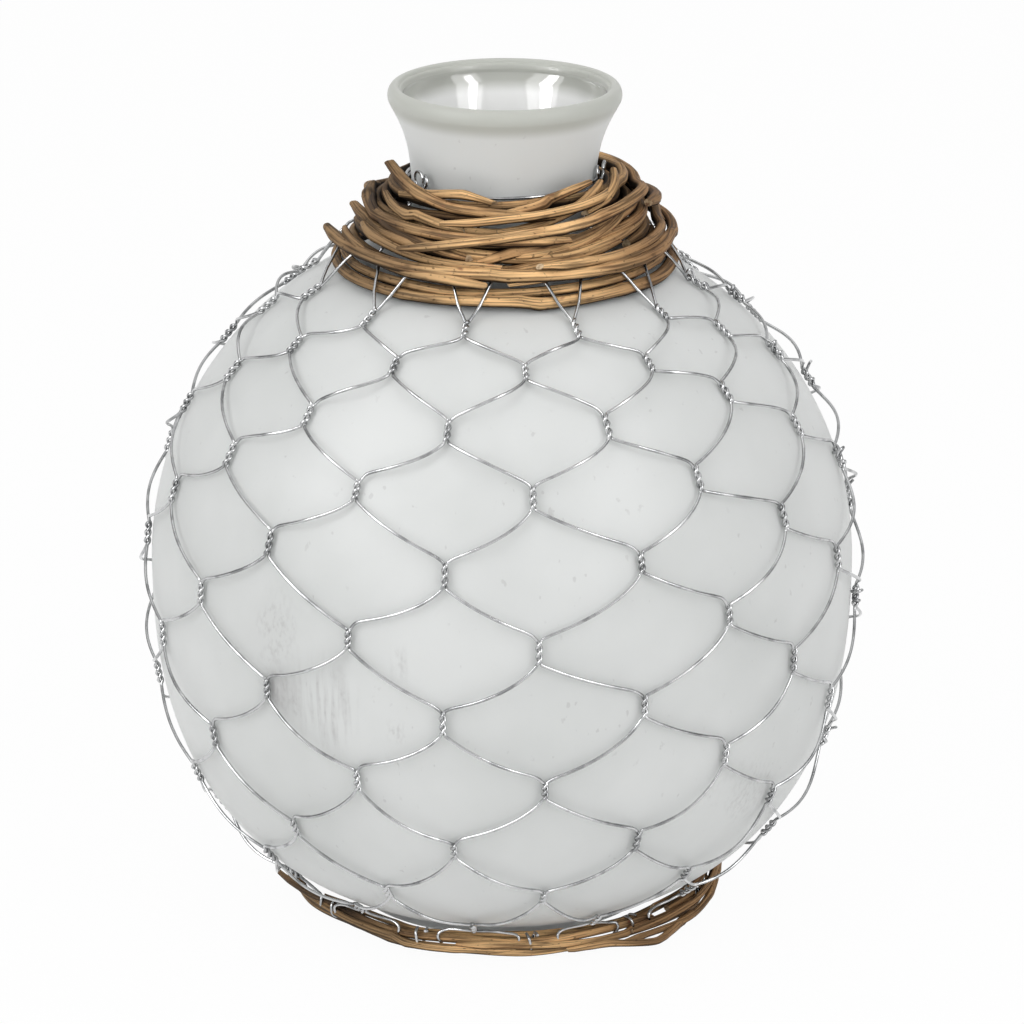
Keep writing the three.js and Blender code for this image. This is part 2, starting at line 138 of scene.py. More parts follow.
class Shade:
    """An output of a material's nodes. Arithmetic on it adds Math nodes."""

    def __init__(self, tree, socket=None):
        self.tree = tree
        self.socket = socket

    def node(self, kind, settings, inputs, output=0):
        """Adds a node: its settings are set first, then each socket gets its value or its link."""
        made = self.tree.nodes.new(kind)
        for name, value in settings.items():
            setattr(made, name, value)
        self.feed(made, inputs)
        return Shade(self.tree, made.outputs[output])

    def feed(self, node, inputs):
        """Gives sockets of a node their values or links."""
        for name, value in inputs.items():
            if isinstance(value, Shade):
                self.tree.links.new(value.socket, node.inputs[name])
            else:
                node.inputs[name].default_value = value

    def math(self, operation, first, second):
        """A Math node on two values."""
        return self.node("ShaderNodeMath", {"operation": operation}, {0: first, 1: second})

    def __add__(self, other):
        return self.math("ADD", self, other)

    def __radd__(self, other):
        return self.math("ADD", other, self)

    def __sub__(self, other):
        return self.math("SUBTRACT", self, other)

    def __rsub__(self, other):
        return self.math("SUBTRACT", other, self)

    def __mul__(self, other):
        return self.math("MULTIPLY", self, other)

    def __rmul__(self, other):
        return self.math("MULTIPLY", other, self)

    def rise(self, start, end):
        """0 up to start, 1 from end on, and a smooth step between."""
        inputs = {"Value": self, "From Min": start, "From Max": end}
        return self.node("ShaderNodeMapRange", {"interpolation_type": "SMOOTHSTEP"}, inputs)

    def near(self, middle, reach):
        """1 about the middle value, falling smoothly to 0 at the reach from it."""
        apart = self.math("ABSOLUTE", self - middle, 0)
        return apart.rise(reach, 0.1 * reach)

    def blend(self, first, second):
        """Colour that goes from the first to the second as this value goes from 0 to 1."""
        inputs = {0: self, 6: first, 7: second}
        return self.node("ShaderNodeMix", {"data_type": "RGBA"}, inputs, output=2)

    def noise(self, vector, scale, detail=3.0):
        """Cloudy noise from 0 to 1 at a vector times the scale."""
        inputs = {"Vector": vector, "Scale": scale, "Detail": detail}
        return self.node("ShaderNodeTexNoise", {}, inputs)

    def stretched(self, vector, scale):
        """The vector with each part times its own scale."""
        return self.node("ShaderNodeVectorMath", {"operation": "MULTIPLY"}, {0: vector, 1: scale})

    def bump(self, height, strength, distance):
        """The surface's normal, tilted by the slope of a height."""
        inputs = {"Height": height, "Strength": strength, "Distance": distance}
        return self.node("ShaderNodeBump", {}, inputs)


def begin(name):
    """A new material: it, its nodes to build with, and its surface."""
    material = bpy.data.materials.new(name)
    material.use_nodes = True
    return material, Shade(material.node_tree), material.node_tree.nodes["Principled BSDF"]


def frosted_glass():
    """Milky etched glass, bright inside and greenish at the thick lip, with rubbed-on dirt on the left,
    a little low on the right, and faint specks all over."""
    material, shade, surface = begin("frosted_glass")
    spot = shade.node("ShaderNodeTexCoord", {}, {}, output="Object")
    inside = shade.node("ShaderNodeAttribute", {"attribute_name": "inside"}, {}, output="Fac")
    across = shade.node("ShaderNodeSeparateXYZ", {}, {0: spot}, output="X")
    away = shade.node("ShaderNodeSeparateXYZ", {}, {0: spot}, output="Y")
    up = shade.node("ShaderNodeSeparateXYZ", {}, {0: spot}, output="Z")

    def about(middle_across, reach_across, middle_up, reach_up):
        """1 in the middle of a patch of dirt, falling to 0 at its reach."""
        return across.near(middle_across, reach_across) * up.near(middle_up, reach_up)

    cloud = shade.noise(spot, 22.0).rise(0.3, 0.75)
    streaks = shade.noise(shade.stretched(spot, (560, 560, 46)), 1.0, 5.0).rise(0.42, 0.7)
    grains = shade.noise(shade.stretched(spot, (760, 760, 480)), 1.0, 3.0).rise(0.42, 0.7)
    patch = shade.noise(spot, 46.0, 2.0).rise(0.42, 0.6)
    rub = about(*RUBBED) * (0.36 + streaks * 0.22 + grains * 0.2)
    wiped = about(*WIPED) * streaks * (0.34 + grains * 0.3)
    spatter = about(*SPATTERED) * (0.07 + grains * patch * 0.42)
    splash = about(*SPLASHED) * grains * patch * 0.3
    mark = about(*HIGH_MARK) * (streaks * 0.3 + grains * 0.2)
    mark = mark + about(*LOW_MARK) * grains * 0.35
    specks = shade.noise(shade.stretched(spot, (420, 420, 260)), 1.0, 2.0).rise(0.68, 0.74) * patch * 0.3
    dirt = (rub + wiped + spatter + splash + mark) * away.rise(0, -0.03) + specks
    frost = up.rise(waist - 0.012, waist + 0.004).blend(cloud.blend(FROST, FROST_THIN), NECK_TINT)
    frost = inside.blend(frost, INSIDE_TINT)
    frost = up.rise(lip_height - 0.0062, lip_height - 0.0022).blend(frost, LIP_TINT)
    shade.feed(surface, {
        "Base Color": (dirt * (1 - inside)).blend(frost, SMUDGE),
        "Roughness": 0.52 - inside * 0.44,
        "Normal": shade.bump(shade.noise(spot, 90.0, 4.0), 0.12, 0.001),
        "IOR": 1.5,
        "Coat Weight": inside,
        "Coat Roughness": 0.04,
        "Coat IOR": 1.7,
        "Subsurface Weight": 0.35,
        "Subsurface Radius": (1.0, 1.0, 1.0),
        "Subsurface Scale": 0.006,
        "Sheen Weight": 0.25,
        "Sheen Roughness": 0.5,
    })
    return material


heel_share = (HEEL / BALL) ** LOWER_FULLNESS
belly = HEEL_HEIGHT + BALL_DEPTH * (1 - heel_share) ** (1 / LOWER_FULLNESS)
waist = belly + BALL_RISE + NECK_RISE
lip_height = waist + FLARE
lower_radius, lower_drop = half_curve(HEEL, BALL, BALL_DEPTH, LOWER_FULLNESS, 60)
upper_radius, upper_rise = half_curve(BALL, SHOULDER, BALL_RISE, UPPER_FULLNESS, 50)
seat = belly + upper_rise[-1]
shoulder = bend(
    [
        (SHOULDER, seat),
        (SHOULDER - 0.3 * (SHOULDER - NECK), seat + 0.3 * NECK_RISE),
        (NECK, seat + 0.2 * (waist - seat)),
        (NECK, waist),
    ],
    24,
)
flare = bend(
    [
        (NECK, waist),
        (NECK + 0.1 * (LIP - NECK), waist + 0.42 * FLARE),
        (NECK + 0.36 * (LIP - NECK), waist + 0.62 * FLARE),
        (LIP - 0.0009, lip_height - 0.0027),
    ],
    24,
)
neck_line = np.concatenate([shoulder[1:], flare[1:]])
outline = np.concatenate([
    np.stack([lower_radius, belly - lower_drop], axis=1),
    np.stack([upper_radius, belly + upper_rise], axis=1)[1:],
    neck_line,
])
course = np.gradient(outline, axis=0)
course /= np.linalg.norm(course, axis=1)[:, None]
lining = outline + WALL * np.stack([-course[:, 1], course[:, 0]], axis=1)
lining = lining[(lining[:, 1] > 2 * BASE) & (lining[:, 1] < lip_height - LIP_BEAD[1])][::-1]
bead_turn = np.radians(np.linspace(-42, 195, 30))
groove = 1 - 0.14 * np.exp(-(((np.degrees(bead_turn) - 128) / 9) ** 2))
bead = np.stack([
    LIP - LIP_BEAD[0] + LIP_BEAD[0] * groove * np.cos(bead_turn),
    lip_height + LIP_BEAD[1] * groove * np.sin(bead_turn),
], axis=1)
well = bend([lining[-1], (HEEL + 0.004, BASE + 0.001), (HEEL - 0.004, BASE), (0.03, BASE)], 10)[1:]
underside = bend([(PUNT - 0.008, PUNT_DEPTH), (PUNT - 0.004, PUNT_DEPTH), (PUNT - 0.003, 0), (PUNT, 0)], 8)
heel = bend([(FOOT, 0), (FOOT + 0.002, 0), (HEEL - 0.001, 0.0015), (HEEL, HEEL_HEIGHT)], 8)[:-1]
middle_low, middle_high = [(0.004, PUNT_DEPTH)], [(0.004, BASE)]
profile = np.concatenate([middle_low, underside, heel, outline, bead, lining, well, middle_high])
columns = np.arange(GLASS_COLUMNS) * 360 / GLASS_COLUMNS
rings = place(columns, profile[:, :1], profile[:, 1:])
rings[..., 0] += NECK_LEAN * np.clip((profile[:, 1:] - seat) / (lip_height - seat), 0, 1)
vase_mesh = skin("frosted_vase", rings)
past_lip = np.arange(len(profile)) - (len(underside) + len(heel) + len(outline) + len(bead) - FADE_ROWS)
bright = np.repeat(np.clip(past_lip / FADE_ROWS, 0, 1), GLASS_COLUMNS).astype(np.float32)
vase_mesh.attributes.new("inside", "FLOAT", "POINT").data.foreach_set("value", bright)
add("frosted_vase", vase_mesh, [frosted_glass()], ["glass_vase"])


# Foot ring: thin unpeeled willow rods bent round the foot, two high, some with an end or a kink standing
# out, and thinner rods between them. Each is cut to length with a knife, so its ends show pale wood.
FOOT_RODS = 7
RING_ROD = 0.0024
THIN_RING_ROD = 0.9 * RING_ROD
TAN = (0.96, 0.6, 0.285, 1)
ORANGE = (0.43, 0.175, 0.06, 1)
BROWN = (0.16, 0.075, 0.034, 1)
DARK = (0.009, 0.005, 0.003, 1)
UMBER = (0.098, 0.062, 0.036, 1)
RED = (0.36, 0.085, 0.06, 1)
CUT_WOOD = (0.62, 0.46, 0.28, 1)
ROD_CORNERS = 14
# Thinner rods laid in the ring: first and last azimuth, and the radii and heights they pass on the way.
LAID_IN_RING = [
    (-84, 4, [0.0622, 0.0602, 0.0614, 0.0622, 0.061], [0.0041]),
    (-12, 66, [0.061, 0.0618, 0.0608, 0.0612], [0.0041]),
    (58, 150, [0.0612, 0.0612, 0.0618, 0.0608], [0.0041]),
    (140, 268, [0.061, 0.0618, 0.0606, 0.0619, 0.061], [0.0041]),
    (36, 88, [0.0622, 0.0634, 0.0624], [0.0041, 0.0052, 0.0078]),
    (30, 82, [0.065, 0.0646, 0.063], [0.0027, 0.0034, 0.0062]),
    (46, 94, [0.0594, 0.0602, 0.0606], [0.0078, 0.0081, 0.0092]),
]
KINK = 0.17
BUD_SPACING = 0.03
BUD_LENGTH = 0.0021
TIP_LENGTH = 0.007
# Painted shade: how much darker the bark is painted where a rod lies fully under others.
BURIED_SHADE = 0.3
AZIMUTH_JUMP = 1.5
chance = np.random.default_rng(7)


def corners_of(node):
    """Corners of a node of the frame, one row each."""
    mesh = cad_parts[node].data
    corners = np.empty(len(mesh.vertices) * 3, np.float32)
    mesh.vertices.foreach_get("co", corners)
    return corners.reshape(-1, 3).astype(float)


def rod_centre(node):
    """Middle line of a rod of the frame: its corners, sorted by azimuth from the widest gap on, are cut
    into rings where the azimuth jumps, and each ring is averaged."""
    corners = np.unique(corners_of(node).round(6), axis=0)
    azimuth = np.degrees(np.arctan2(corners[:, 0], -corners[:, 1])) % 360
    order = np.argsort(azimuth)
    gaps = np.diff(azimuth[order], append=azimuth[order[0]] + 360)
    widest = np.argmax(gaps) + 1
    order = np.roll(order, -widest)
    starts = np.concatenate([[0], np.flatnonzero(np.roll(gaps, -widest)[:-1] > AZIMUTH_JUMP) + 1])
    counts = np.diff(starts, append=len(order))
    return np.add.reduceat(corners[order], starts) / counts[:, None]


def through(points, steps):
    """Smooth path through points: between each two of them a cubic whose slope at a point is half the
    step from the point before it to the point after."""
    padded = np.concatenate([[2 * points[0] - points[1]], points, [2 * points[-1] - points[-2]]])
    before, start, end, after = padded[:-3, None], padded[1:-2, None], padded[2:-1, None], padded[3:, None]
    t = (np.arange(steps) / steps)[None, :, None]
    path = start + t / 2 * (end - before)
    path = path + t**2 * (before - 2.5 * start + 2 * end - after / 2)
    path = path + t**3 * ((after - before) / 2 + 1.5 * (start - end))
    return np.concatenate([path.reshape(-1, 3), points[-1:]])


def along(path):
    """Distance from the start of a path to each of its points."""
    return np.concatenate([[0], np.cumsum(np.linalg.norm(np.diff(path, axis=0), axis=1))])


def sides_of(path):
    """Two vectors across the path at each point. The first is carried along from point to point, each
    time losing its part along the path, and the second is square to both."""
    course = np.gradient(path, axis=0)
    course /= np.linalg.norm(course, axis=1)[:, None]
    side = np.array([path[0, 0], path[0, 1], 0.0]) * -1
    carried = []
    for way in course:
        side = side - way * (side @ way)
        side = side / np.linalg.norm(side)
        carried.append(side)
    carried = np.array(carried)
    return carried, np.cross(course, carried)


def bar(path, radius, corners):
    """Rows of a round bar: at each point of the path, a circle across it. The radius is one number, or
    one for each point and corner."""
    first, second = sides_of(path)
    turn = np.arange(corners) * 2 * np.pi / corners
    ring = np.cos(turn)[None, :, None] * first[:, None] + np.sin(turn)[None, :, None] * second[:, None]
    return path[:, None] + np.broadcast_to(radius, ring.shape[:2])[..., None] * ring


def willow_rod(name, path, thickness, tone, buried=0.0):
    """A rod that thins towards its tip, is kinked and swollen at its buds and cut aslant at its ends. The
    radius is a taper, times one plus a bell curve at each bud, times one plus a wave round the rod. The
    kinks are straight lines from bud to bud, with a few sine waves added. Each corner also keeps a painted
    shade: how far it faces in and down, and how deep the rod is buried there. These darken the bark in
    place of the shadow on undersides and between rods."""
    run = along(path)
    share = run / run[-1]
    if chance.random() < 0.5:
        share = share[::-1]
    buds = np.sort(chance.uniform(0, run[-1], max(3, int(run[-1] / BUD_SPACING))))
    swell = np.exp(-(((run[:, None] - buds) / BUD_LENGTH) ** 2)).sum(axis=1)
    turn = np.arange(ROD_CORNERS) * 2 * np.pi / ROD_CORNERS
    ridges = 0.05 * np.cos(2 * turn + 60 * run[:, None]) + 0.03 * np.cos(5 * turn - 45 * run[:, None])
    tips = np.clip(np.minimum(run, run[-1] - run) / TIP_LENGTH, 0, 1)
    radius = thickness / 2 * (1.12 - 0.3 * share) * (1 + 0.11 * swell) * (0.62 + 0.38 * tips)
    first, second = sides_of(path)
    waves = chance.uniform(45, 160, (2, 2))
    sway = 0.00016 * np.sin(run * waves[..., None] + chance.uniform(0, 6, (2, 2, 1))).sum(axis=1)
    bends = chance.normal(0, KINK * thickness, (2, len(buds)))
    kinks = np.stack([np.interp(run, buds, offsets) for offsets in bends])
    across, beside = (sway + kinks)[..., None]
    path = path + first * across + second * beside
    rows = bar(path, radius[:, None] * (1 + ridges), ROD_CORNERS)
    slants = chance.uniform(-1.1, 1.1, 2)
    lean = thickness / 2 * np.cos(turn + chance.uniform(0, 6))[:, None]
    rows[0] += slants[0] * lean * (path[1] - path[0]) / np.linalg.norm(path[1] - path[0])
    rows[-1] += slants[1] * lean * (path[-1] - path[-2]) / np.linalg.norm(path[-1] - path[-2])
    outward = path * (1, 1, 0) / np.hypot(path[:, 0], path[:, 1])[:, None] * 0.6 + np.array([0, 0, 0.8])
    facing = rows - path[:, None]
    facing = facing / np.linalg.norm(facing, axis=-1)[..., None]
    # Painted shade: faces that turn in and down, and rods that lie under others, are marked to be painted
    # dark.
    painted_shade = 0.5 - 0.5 * (facing * outward[:, None]).sum(axis=-1)
    painted_shade = painted_shade + BURIED_SHADE * np.broadcast_to(buried, len(path))[:, None]
    mesh = skin(name, rows, run + chance.uniform(0, 5))
    for label, values in (("tone", np.full(painted_shade.size, tone)), ("painted_shade", painted_shade.ravel())):
        kept = mesh.attributes.new(label, "FLOAT", "POINT")
        kept.data.foreach_set("value", values.astype(np.float32))
    mesh.polygons[-1].material_index = 1
    mesh.polygons[-2].material_index = 1
    return mesh


def willow_bark():
    """Dry willow bark: tan to brown along the rod and darker umber in weathered patches, with fine lengthwise
    streaks, specks, dark knots and red spots. Painted shade makes it darker on the left of the vase and
    browner on the right, and darkest on faces that turn in and down and where rods lie under others."""
    material, shade, surface = begin("willow_bark")
    run = shade.node("ShaderNodeUVMap", {"uv_map": "run"}, {})
    spot = shade.node("ShaderNodeTexCoord", {}, {}, output="Object")
    across = shade.node("ShaderNodeSeparateXYZ", {}, {0: spot}, output="X")
    tone = shade.node("ShaderNodeAttribute", {"attribute_name": "tone"}, {}, output="Fac")
    painted_shade = shade.node("ShaderNodeAttribute", {"attribute_name": "painted_shade"}, {}, output="Fac")
    grooves = shade.noise(shade.stretched(run, (15, 48, 1)), 1.0, 6.0)
    patches = shade.noise(shade.stretched(run, (2.4, 62, 1)), 1.0, 4.0)
    specks = shade.noise(shade.stretched(run, (9, 620, 1)), 1.0, 2.0).rise(0.61, 0.74)
    knots = shade.noise(shade.stretched(run, (2.2, 95, 1)), 1.0, 2.0).rise(0.62, 0.74)
    blush = shade.noise(shade.stretched(run, (4, 190, 1)), 1.0, 1.0).rise(0.74, 0.8)
    warm = (patches * 1.2 + tone * 0.6 - 0.5).rise(0.12, 0.5).blend(BROWN, ORANGE)
    warm = (patches * 1.4 + tone * 0.7 - 0.46).rise(0.2, 0.75).blend(warm, TAN)
    weathered_and_left_shade = (shade.noise(shade.stretched(run, (1, 24, 1)), 1.0, 2.0) - tone * 0.5).rise(0.2, 0.5)
    # Weathering in patches, plus painted shade that darkens the bark on the left of the vase.
    weathered_and_left_shade = weathered_and_left_shade * 0.35 + across.rise(-0.006, -0.036) * 0.72
    # Painted shade: the bark turns browner on the right of the vase.
    bark = weathered_and_left_shade.blend((across.rise(0.018, 0.042) * 0.72).blend(warm, BROWN), UMBER)
    bark = (grooves.rise(0.6, 0.36) * 0.72).blend(bark, DARK)
    bark = (blush * 0.5).blend(bark, RED)
    bark = (specks * 0.6).blend(bark, DARK)
    bark = (knots * 0.6).blend(bark, DARK)
    # Painted shade: the bark turns near black on faces that turn in and down and where a rod lies under
    # others.
    bark = (painted_shade.rise(0.2, 0.62) * 0.97).blend(bark, DARK)
    shade.feed(surface, {
        "Base Color": bark,
        "Roughness": 0.42 + grooves * 0.3 + painted_shade * 0.25,
        "Normal": shade.bump(grooves + specks * 0.4, 0.5, 0.0005),
        "Specular IOR Level": 0.14,
    })
    return material


def cut_willow():
    """Pale wood of a cut end, a little darker in patches."""
    material, shade, surface = begin("cut_willow")
    spot = shade.node("ShaderNodeTexCoord", {}, {}, output="Object")
    shade.feed(surface, {
        "Base Color": shade.noise(spot, 900.0).rise(0.35, 0.75).blend(CUT_WOOD, BROWN),
        "Roughness": 0.7,
    })
    return material


bark = willow_bark()
cut_end = cut_willow()
for number in range(1, FOOT_RODS + 1):
    path = through(rod_centre(f"foot_rod_{number}"), 9)
    mesh = willow_rod(f"foot_willow_{number}", path, RING_ROD, chance.uniform(0.5, 1))
    add(f"foot_willow_{number}", mesh, [bark, cut_end], [f"foot_rod_{number}"])
for number, (first, last, radii, heights) in enumerate(LAID_IN_RING, 1):
    azimuth = np.linspace(first, last, 14)
    across = np.interp(azimuth, np.linspace(first, last, len(radii)), radii)
    rise = np.interp(azimuth, np.linspace(first, last, len(heights)), heights)
    path = through(place(azimuth, across, rise), 8)
    mesh = willow_rod(f"ring_willow_{number}", path, THIN_RING_ROD, chance.uniform(0.5, 1.1))
    add(f"ring_willow_{number}", mesh, [bark, cut_end])


# Collar: unpeeled willow rods wound one over another round the neck and shoulder, from the netting up to
# the binding wire, with thinner rods laid over them. They hold by their own spring, with their cut ends
# tucked in or standing out. The lowest rods lie open. The bark of the others is painted darker by how deep
# they lie under others, as shade.
CONE_FOOT = (0.04624, 0.18692)
CONE_TOP = (0.0281, 0.21041)
LANE = 0.00424
COLLAR_ROD = 0.00335
COLLAR_THICKNESS = [1, 0.95, 1, 1, 0.95, 1, 0.95, 0.95, 1, 1, 1, 1.05, 1, 1, 0.9, 0.95]
OPEN_RODS = 3
OPEN_TONE = 1.15
TONES = (0.3, 1.55)
THIN_COLLAR_ROD = 0.86 * COLLAR_ROD
LAID_OFF = 1.68
LAID_WEAVE = 0.2
# Thinner rods laid over the others: first and last azimuth, and the lanes they pass on the way.
LAID_OVER = [
    (2, 84, [1.0, 1.9, 2.1, 1.9]),
    (-12, 72, [2.3, 3.5, 4.6, 4.8]),
    (4, 68, [2.9, 3.1, 4.2, 5.4]),
    (-2, 56, [4.7, 5.1, 5.8, 7.0]),
    (-4, 50, [6.0, 6.6, 7.1, 7.3]),
    (-80, -12, [5.2, 4.3, 3.2, 2.5]),
    (-78, -6, [2.6, 1.8, 1.3, 0.9]),
    (34, 88, [3.6, 3.9, 3.9, 4.4]),
    (40, 80, [5.5, 6.0, 6.8, 7.2]),
    (-56, -4, [6.4, 7.1, 7.2, 6.7]),
    (-70, -16, [6.3, 5.6, 4.9, 4.6]),
    (-16, 50, [1.5, 1.6, 2.8, 3.1]),
    (-68, 0, [3.5, 2.9, 2.3, 2.1]),
    (-36, 32, [1.75, 1.5, 1.5, 1.8]),
    (100, 190, [2.0, 3.0, 4.2, 5.0]),
    (150, 240, [5.2, 4.0, 3.0, 2.4]),
    (200, 275, [2.5, 3.6, 4.8, 5.5]),
    (95, 170, [6.4, 5.4, 4.4, 3.8]),
]
cone_foot = np.array(CONE_FOOT)
cone_up = np.array(CONE_TOP) - cone_foot
cone_up = cone_up / np.linalg.norm(cone_up)
cone_out = np.array([cone_up[1], -cone_up[0]])


def on_cone(azimuth, lane, off):
    """Points on the collar from azimuth, lanes up its cone and the height off the cone's inner face."""
    spot = cone_foot + np.asarray(lane)[..., None] * LANE * cone_up
    spot = spot + np.asarray(off)[..., None] * cone_out
    return place(azimuth, spot[..., 0], spot[..., 1])


def off_cone(path):
    """Height of points off the collar's cone: their way from its foot, measured square to its slope."""
    spot = np.stack([np.hypot(path[:, 0], path[:, 1]), path[:, 2]], axis=1) - cone_foot
    return spot @ cone_out


for number, share in enumerate(COLLAR_THICKNESS, 1):
    path = through(rod_centre(f"collar_rod_{number:02d}"), 10)
    open_below = number <= OPEN_RODS
    tone = OPEN_TONE if open_below else chance.uniform(*TONES)
    # Painted shade: rods above the lowest are darkened by how deep they lie under others.
    buried = 0.0 if open_below else np.clip(1.5 - off_cone(path) / COLLAR_ROD, 0, 1)
    mesh = willow_rod(f"collar_willow_{number:02d}", path, COLLAR_ROD * share, tone, buried)
    add(f"collar_willow_{number:02d}", mesh, [bark, cut_end], [f"collar_rod_{number:02d}"])
for number, (first, last, lanes) in enumerate(LAID_OVER, 1):
    azimuth = np.linspace(first, last, 16)
    lane = bend(np.array(lanes)[:, None], 16)[:, 0]
    weave = LAID_OFF + LAID_WEAVE * np.sin(np.radians(azimuth * 7 + chance.uniform(0, 360)))
    path = through(on_cone(azimuth, lane, COLLAR_ROD * weave), 6)
    mesh = willow_rod(f"laid_willow_{number:02d}", path, THIN_COLLAR_ROD, chance.uniform(*TONES))
    add(f"laid_willow_{number:02d}", mesh, [bark, cut_end])


# Netting: galvanised wire netting with hexagonal gaps, wrapped round the ball. Each wire climbs half a
# gap per row and is twisted one and a half turns with its neighbour at every joint.
WIRE = 0.0009
NET_COLUMNS = 12
NET_ROWS = 11
NET_TURN = 20.5
FRONT_STRETCH = 1.9
GATHER = 1.15
SLIP = 3.5
SIDE_LIFT = 0.004
TILT = 0.0017
NET_LOW = 0.0044
NET_HIGH = 0.20076
TWIST = 0.0066
TWIST_RADIUS = 0.00062
STAND_OFF = 0.0014
RING_RADIUS = 0.05885
RING_TOP = 0.0066
NET_START = 0.0032
SLOPE_STEP = 0.004
JOINT_SHIFT = 0.35
JOINT_LIFT = 0.0006
ZINC = (0.57, 0.575, 0.58, 1)
ZINC_DULL = (0.27, 0.275, 0.28, 1)
# Hook on the ring: share of the way back along it, then how far out from its middle and up from its top.
RING_HOOK = [(0.9, 0.0014, -0.0024), (0.97, 0.0021, -0.0014), (1, 0.0021, -0.0001), (0.93, 0.0017, 0.001)]
# Hook on the collar: degrees on from the last joint, lanes up the cone and height off it.
COLLAR_HOOK = [(3.5, -0.3, 0.0042), (6, 1, 0.0042), (8, 1.65, 0.0037), (9, 1.7, 0.0008)]


def galvanised():
    """Zinc-coated wire: bright metal with duller, rougher patches."""
    material, shade, surface = begin("galvanised_wire")
    spot = shade.node("ShaderNodeTexCoord", {}, {}, output="Object")
    dull = shade.noise(spot, 160.0, 3.0).rise(0.42, 0.7)
    shade.feed(surface, {
        "Base Color": dull.blend(ZINC, ZINC_DULL),
        "Metallic": 1.0,
        "Roughness": 0.14 + dull * 0.14,
        "Normal": shade.bump(shade.noise(spot, 1500.0, 2.0), 0.15, 0.0001),
    })
    return material


zinc = galvanised()
net_foot = np.array([RING_RADIUS + RING_ROD / 2, RING_TOP + NET_START])
climb = outline[(outline[:, 1] > net_foot[1]) & ((outline[:, 1] < belly) | (outline[:, 0] > CONE_FOOT[0]))]
leans = np.arctan2(climb[:, 0] - net_foot[0], climb[:, 1] - net_foot[1])
guide = np.concatenate([[net_foot], climb[np.argmax(leans):]])
guide_run = along(np.insert(guide, 1, 0, axis=1))


def on_net(azimuth, up, off):
    """Points from azimuth, the way up the guide that the netting follows, and the height off it."""
    radius = np.interp(up, guide_run, guide[:, 0])
    height = np.interp(up, guide_run, guide[:, 1])
    below, above = up - SLOPE_STEP, up + SLOPE_STEP
    slope_out = np.interp(above, guide_run, guide[:, 0]) - np.interp(below, guide_run, guide[:, 0])
    slope_up = np.interp(above, guide_run, guide[:, 1]) - np.interp(below, guide_run, guide[:, 1])
    length = np.hypot(slope_out, slope_up)
    return place(azimuth, radius + off * slope_up / length, height - off * slope_out / length)


rows = np.arange(NET_ROWS)
joint_shift = chance.normal(0, JOINT_SHIFT, (NET_ROWS, 2 * NET_COLUMNS))
joint_lift = chance.normal(0, JOINT_LIFT, (NET_ROWS, 2 * NET_COLUMNS))
joint_length = TWIST * chance.uniform(0.82, 1.12, (NET_ROWS, 2 * NET_COLUMNS))


def joint(row, half):
    """Azimuth, way up the guide and length of the joint in a row, counted round in half gaps. Rows draw
    together towards the collar, and the joints of those between ride up at the sides."""
    climbed = row / (NET_ROWS - 1)
    even = half * 180 / NET_COLUMNS + NET_TURN
    azimuth = even + FRONT_STRETCH * np.sin(np.radians(even)) + SLIP * (0.74 - climbed)
    side = np.sin(np.radians(azimuth))
    lift = (TILT * side + SIDE_LIFT * (side**2 - 0.5)) * 4 * climbed * (1 - climbed)
    up = NET_LOW + (NET_HIGH - NET_LOW) * (1 - (1 - climbed) ** GATHER) + lift
    spot = row, half % (2 * NET_COLUMNS)
    return azimuth + joint_shift[spot], up + joint_lift[spot], joint_length[spot]


def net_path(way, column):
    """One wire of the netting. In a joint it winds round the joint's middle: the angle goes from a half
    turn to minus one turn, its cosine sideways and its sine outward. Between joints it follows a cubic
    in azimuth and climb with a short quick rise at its start, and bows off the glass."""
    azimuth, up, length = joint(rows, 2 * column + way * rows)
    side = np.sin(np.radians(azimuth))
    share = np.linspace(0, 1, 15)
    angle = np.pi - 3 * np.pi * share
    reach = np.degrees(TWIST_RADIUS / np.hypot(*on_net(0, up, STAND_OFF)[:, :2].T))
    joints = on_net(
        azimuth[:, None] + way * reach[:, None] * np.cos(angle),
        up[:, None] + length[:, None] * (share - 0.5),
        STAND_OFF + way * TWIST_RADIUS * np.sin(angle),
    )
    second, third = ((0.3, 0.2), (0.84, 0.6)) if way > 0 else ((0.3, 0.28), (0.7, 0.64))
    round_part, climb_part = bend([(0, 0), second, third, (1, 1)], 20)[1:-1].T
    spring = np.clip(0.5 - way * 1.2 * side[:-1, None], 0, 1) * chance.uniform(0.065, 0.17, (NET_ROWS - 1, 1))
    climb_part = climb_part + spring * (1 - np.exp(-round_part / 0.05)) * (1 - round_part) ** 2
    bow = chance.uniform(0.0003, 0.0026, NET_ROWS - 1)[:, None] * np.sin(np.pi * round_part)
    start, end = (azimuth + way * reach)[:-1, None], (azimuth - way * reach)[1:, None]
    low, high = (up + length / 2)[:-1, None], (up - length / 2)[1:, None]
    free = on_net(start + (end - start) * round_part, low + (high - low) * climb_part, STAND_OFF + bow)
    body = np.concatenate([joints[:-1], free], axis=1).reshape(-1, 3)
    first, last = azimuth[0], azimuth[-1]
    reach_back = way * chance.uniform(8.5, 13.4)
    back, out, above = np.array(RING_HOOK).T
    tail = place(first - back * reach_back, RING_RADIUS + out, RING_TOP + above)
    rising = [
        place(first - 0.7 * reach_back, RING_RADIUS + 0.0014, RING_TOP + chance.uniform(0.001, 0.0024)),
        on_net(first - 0.32 * reach_back, 0.0006, STAND_OFF),
    ]
    onward, lane, off = np.array(COLLAR_HOOK).T
    hook = on_cone(last + way * onward, lane, off)
    return through(np.concatenate([tail, rising, body, joints[-1], hook]), 2)


for wire in range(2 * NET_COLUMNS):
    path = net_path(1 if wire < NET_COLUMNS else -1, wire % NET_COLUMNS)
    mesh = skin(f"netting_wire_{wire + 1:02d}", bar(path, WIRE / 2, 8))
    add(f"netting_wire_{wire + 1:02d}", mesh, [zinc], [f"net_wire_{wire + 1:02d}"])


